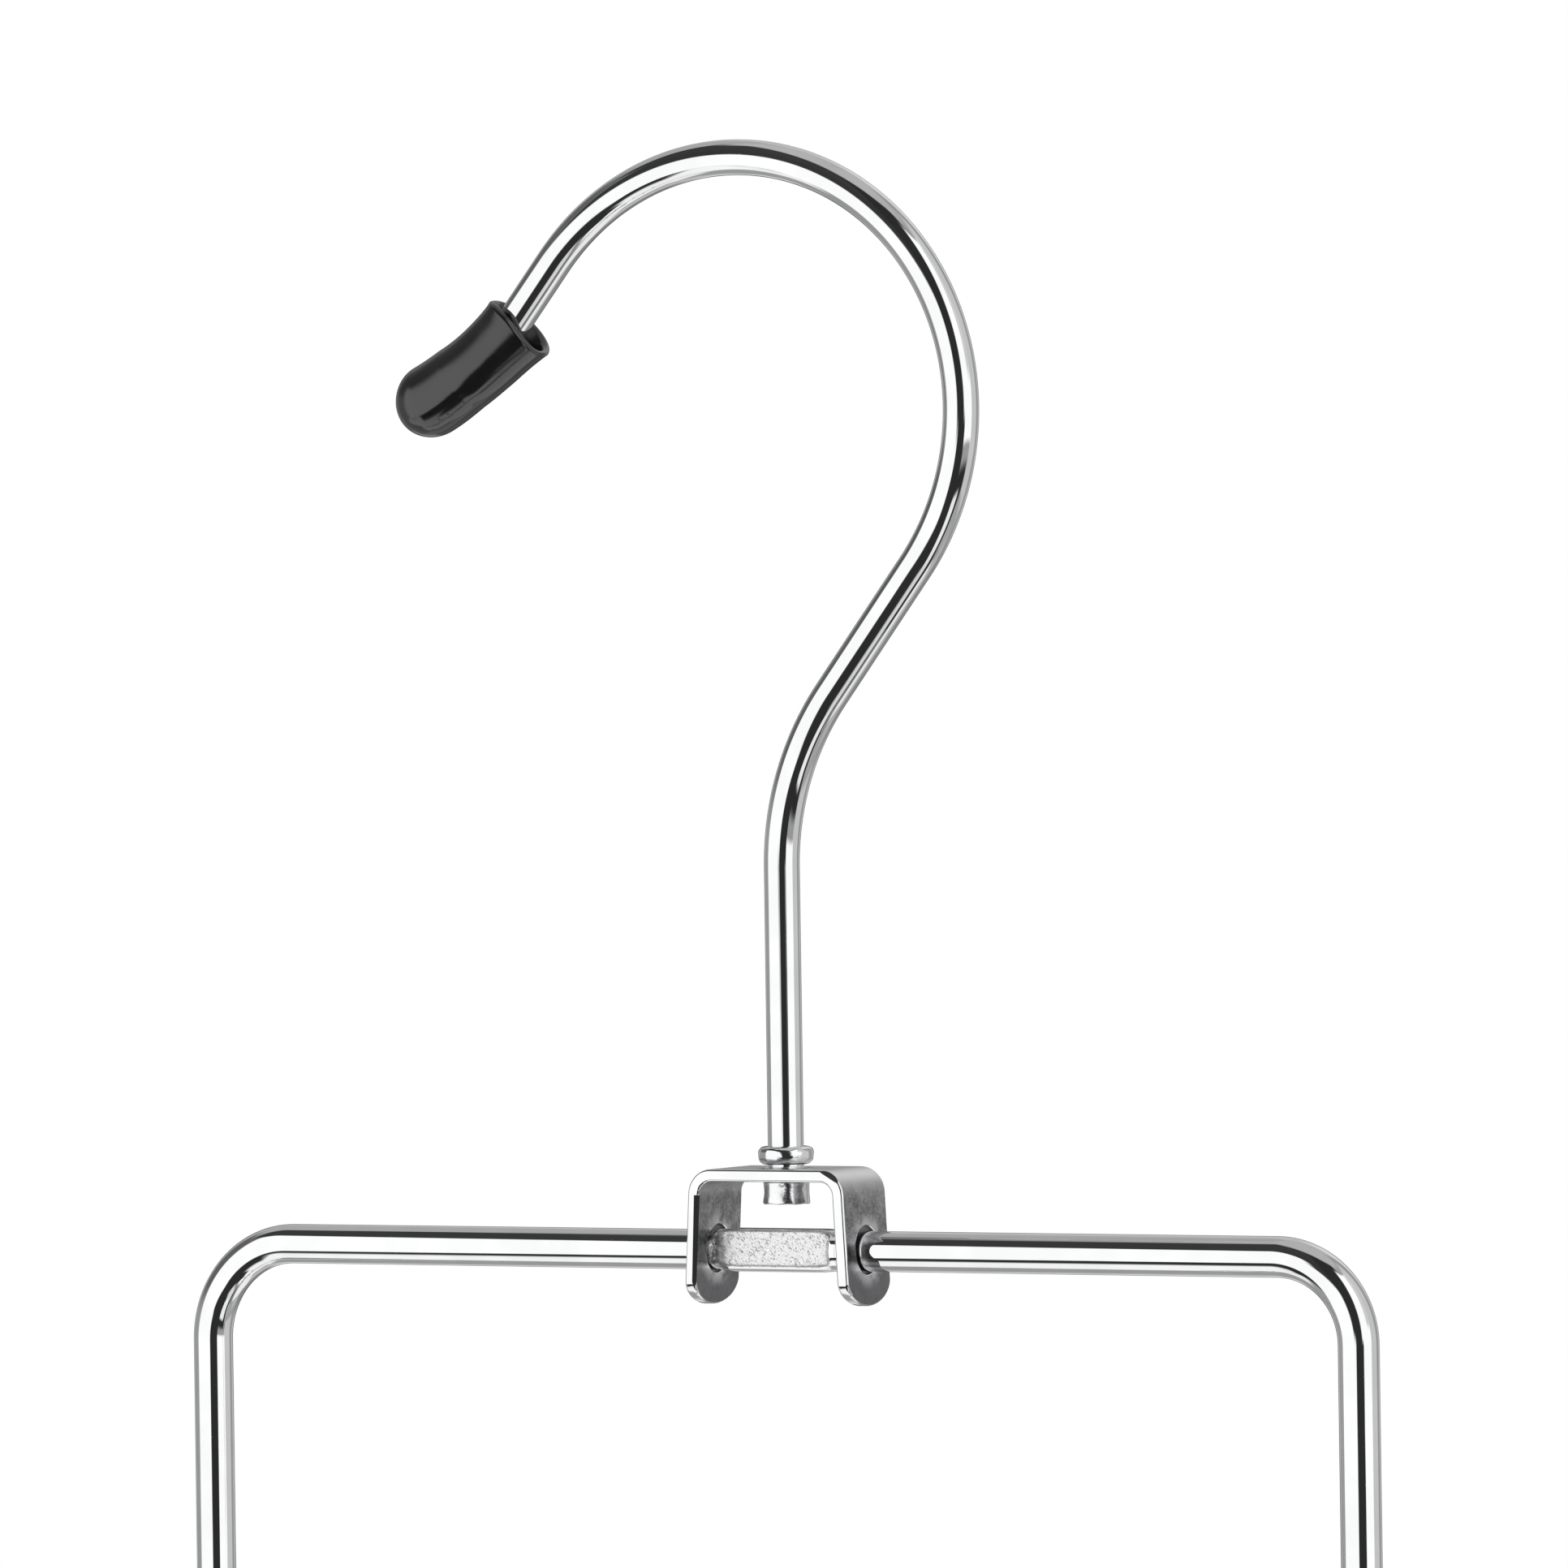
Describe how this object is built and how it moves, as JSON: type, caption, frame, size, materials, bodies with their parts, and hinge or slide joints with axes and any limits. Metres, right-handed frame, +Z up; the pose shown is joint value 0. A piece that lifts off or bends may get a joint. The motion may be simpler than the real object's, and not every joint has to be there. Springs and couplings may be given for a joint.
{
  "type": "tie and belt hanger",
  "caption": "Closet hanger for ties and belts: a round wire hook that swivels in a U-shaped bracket, above a hinged wire ladder with cross bars and capped J hooks.",
  "frame": {"origin": "the rod seat: the highest point of the hook's inner side, where the closet rod carries the hanger", "axes": "+Z is up, -Y is the front, and X runs along the frame's width, with the hook open towards -X"},
  "size_m": [0.1491, 0.0526, 0.3705],
  "materials": {
    "polished_chrome": "bright polished chrome plating on round steel wire",
    "satin_nickel": "satin nickel plating on bent sheet, finely pitted, with bright edges",
    "black_vinyl": "soft glossy black vinyl with a slightly wavy surface"
  },
  "bodies": {
    "hook": {"hook_wire": "polished_chrome", "hook_tip_cap": "black_vinyl"},
    "bracket": {"swivel_bracket": "satin_nickel"},
    "ladder": {"frame_wire": "polished_chrome", "tie_bar_1": "polished_chrome", "tie_bar_2": "polished_chrome", "tie_bar_3": "polished_chrome", "tie_bar_4": "polished_chrome", "belt_hook_1": "polished_chrome", "belt_hook_2": "polished_chrome", "belt_hook_3": "polished_chrome", "belt_hook_4": "polished_chrome", "belt_hook_5": "polished_chrome", "belt_hook_6": "polished_chrome", "belt_hook_cap_1": "black_vinyl", "belt_hook_cap_2": "black_vinyl", "belt_hook_cap_3": "black_vinyl", "belt_hook_cap_4": "black_vinyl", "belt_hook_cap_5": "black_vinyl", "belt_hook_cap_6": "black_vinyl"}
  },
  "joints": [
    {"name": "hook_swivel", "type": "hinge", "parent": "hook", "child": "bracket", "pos_m": [0.00557, 0, -0.1107], "axis": [0, 0, 1], "continuous": true},
    {"name": "frame_swing", "type": "hinge", "parent": "bracket", "child": "ladder", "pos_m": [0.00557, 0, -0.1199], "axis": [1, 0, 0], "range_deg": [-150, 150]}
  ]
}
